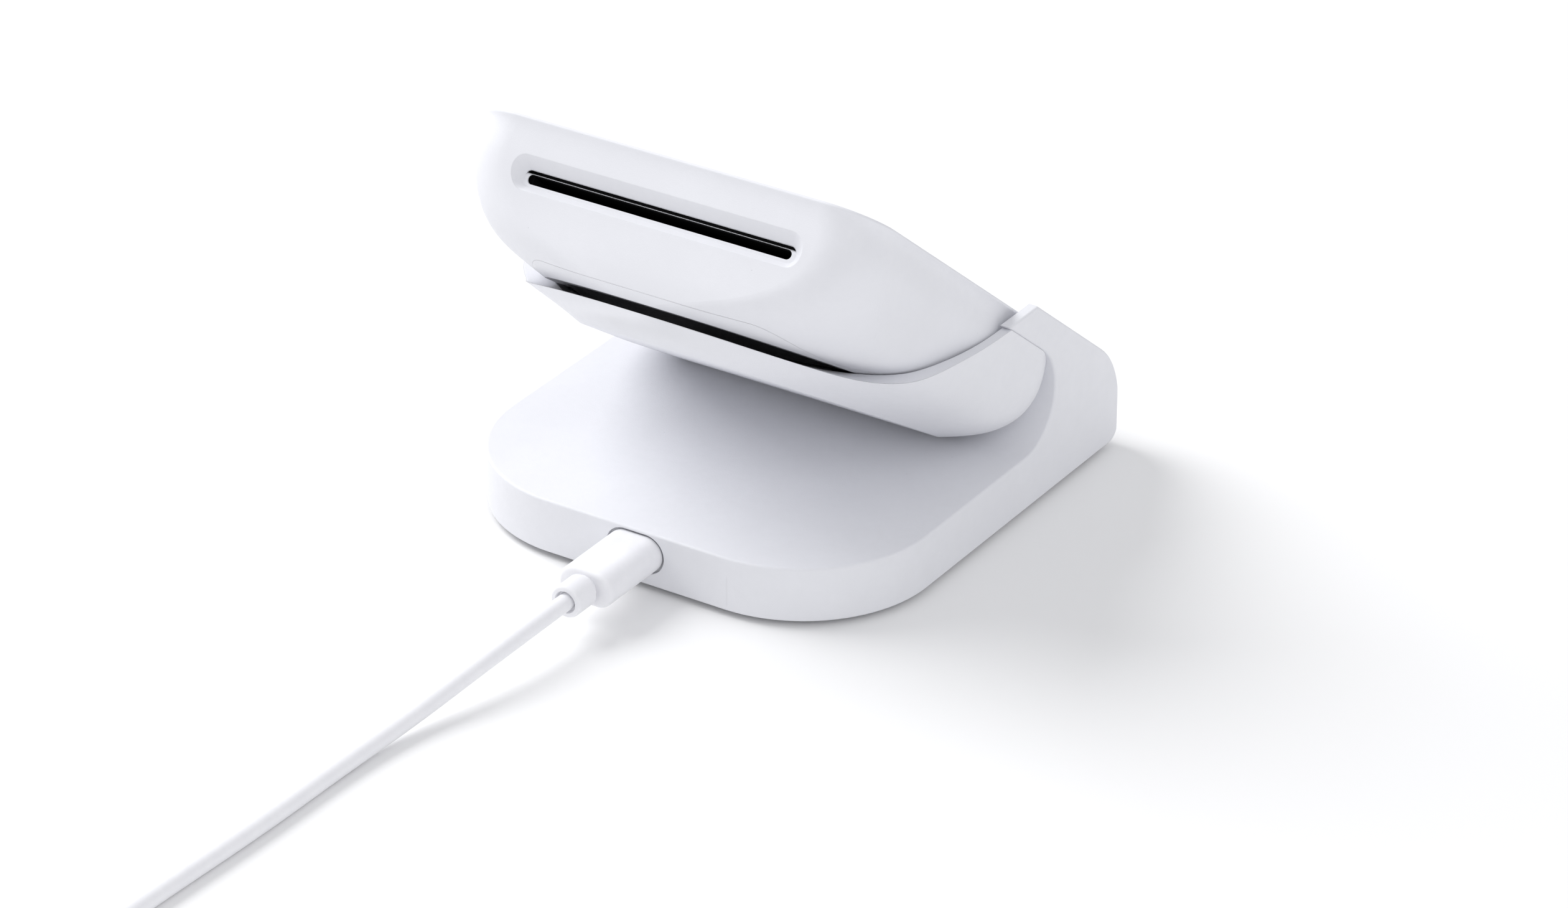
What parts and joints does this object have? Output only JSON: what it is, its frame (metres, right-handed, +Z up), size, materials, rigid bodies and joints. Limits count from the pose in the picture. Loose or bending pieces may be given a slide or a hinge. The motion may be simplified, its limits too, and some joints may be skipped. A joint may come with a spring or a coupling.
{
  "type": "payment card reader on charging dock",
  "caption": "Square chip and contactless card reader resting in a tilted cradle on a folded counter dock, with its charging lead plugged in and the spare length coiled.",
  "frame": {"origin": "middle of the dock's foot, on the counter", "axes": "+Z up, +Y towards the lead side where the card slot is raised, X across; the dock folds over on the -Y side"},
  "size_m": [0.0904, 0.3358, 0.081],
  "materials": {
    "dock_white": "fine matt moulded white",
    "reader_white": "fine matt moulded white, a little smoother than the dock",
    "foot_rubber": "dark matt rubber",
    "plate_grey": "matt light grey moulding",
    "steel": "zinc plated steel",
    "board_green": "solder mask over glass laminate",
    "gold": "gold plated contact",
    "copper": "etched copper under clear coat",
    "black_plastic": "glass filled black moulding",
    "pad_silicone": "soft matt silicone",
    "ribbon_amber": "polyimide film",
    "battery_foil": "laminated foil",
    "ferrite": "dark ferrite sheet",
    "clear_light": "clear diffusing light guide",
    "led_white": "phosphor filled lamp",
    "lead_white": "soft matt white overmould and jacket",
    "tie_grey": "coated wire tie"
  },
  "bodies": {
    "dock": {"dock_shell": "dock_white", "cradle": "dock_white", "bottom_plate": "plate_grey", "bottom_screws": "steel", "rubber_foot": "foot_rubber", "ballast_plate": "steel", "dock_board": "board_green", "board_screws": "steel", "port_shell": "steel", "port_tongue": "black_plastic", "contact_block": "black_plastic", "cradle_pad": "pad_silicone", "contact_ribbon": "ribbon_amber", "cradle_screws": "steel"},
    "dock_pins": {"contact_pins": "gold"},
    "reader": {"reader_housing": "reader_white", "reader_bottom": "reader_white", "reader_screws": "steel", "charge_pads": "gold", "card_guide": "black_plastic", "contact_carrier": "black_plastic", "main_board": "board_green", "shield_can": "steel", "battery": "battery_foil", "nfc_antenna": "copper", "ferrite_sheet": "ferrite", "light_guide": "clear_light", "status_leds": "led_white", "led_board": "board_green", "buzzer": "black_plastic", "button_switch": "black_plastic"},
    "reader_fingers": {"card_contacts": "gold"},
    "reader_button": {"power_button": "reader_white"},
    "lead": {"plug_tip": "steel", "plug_body": "lead_white", "strain_relief": "lead_white", "lead_cable": "lead_white", "lead_tail": "lead_white", "lead_coil": "lead_white", "cable_tie": "tie_grey", "usb_body": "lead_white", "usb_shell": "steel", "usb_insert": "plate_grey"}
  },
  "joints": [
    {"name": "reader_lift", "type": "slide", "parent": "dock", "child": "reader", "axis": [0, -0.6293, 0.7771], "range_m": [0, 0.045]},
    {"name": "button_press", "type": "slide", "parent": "reader", "child": "reader_button", "axis": [-1, 0, 0], "range_m": [0, 0.0005], "stiffness_N_per_m": 800},
    {"name": "fingers_press", "type": "slide", "parent": "reader", "child": "reader_fingers", "axis": [0, 0.6293, -0.7771], "range_m": [0, 0.00035], "stiffness_N_per_m": 500},
    {"name": "pins_press", "type": "slide", "parent": "dock", "child": "dock_pins", "axis": [0, 0.4434, -0.8963], "range_m": [0, 0.0005], "stiffness_N_per_m": 400},
    {"name": "lead_unplug", "type": "slide", "parent": "dock", "child": "lead", "axis": [0, 1, 0], "range_m": [0, 0.012]}
  ]
}
